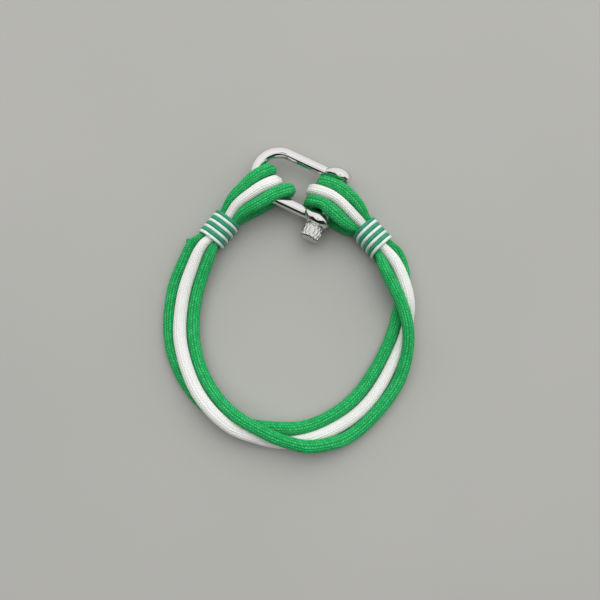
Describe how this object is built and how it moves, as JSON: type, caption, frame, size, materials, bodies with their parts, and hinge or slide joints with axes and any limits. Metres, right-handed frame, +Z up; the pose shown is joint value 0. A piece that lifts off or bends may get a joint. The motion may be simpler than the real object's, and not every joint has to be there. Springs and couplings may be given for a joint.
{
  "type": "cord bracelet",
  "caption": "Wrist bracelet of parallel green and white braided cords, folded at both ends round a D-shaped shackle with a knurled screw pin and bound by striped cord lashings.",
  "frame": {"origin": "middle of the bounding box on the surface that the bracelet lies on", "axes": "+X right and +Y towards the clasp, as seen from above with the clasp at the top; +Z up, away from the surface"},
  "size_m": [0.0736, 0.0909, 0.0114],
  "materials": {
    "green_cord": "braided, slightly glossy",
    "white_cord": "braided, slightly glossy",
    "green_lashing": "satin",
    "white_lashing": "satin",
    "polished_steel": "polished"
  },
  "bodies": {
    "bracelet": {"outer_green_cord": "green_cord", "white_cord": "white_cord", "inner_green_cord": "green_cord", "left_lashing_green": "green_lashing", "left_lashing_white": "white_lashing", "right_lashing_green": "green_lashing", "right_lashing_white": "white_lashing", "shackle": "polished_steel"},
    "pin": {"screw_pin": "polished_steel"}
  },
  "joints": [
    {"name": "pin_draw", "type": "slide", "parent": "bracelet", "child": "pin", "axis": [-0.4384, -0.8988, 0], "range_m": [0, 0.018]}
  ]
}
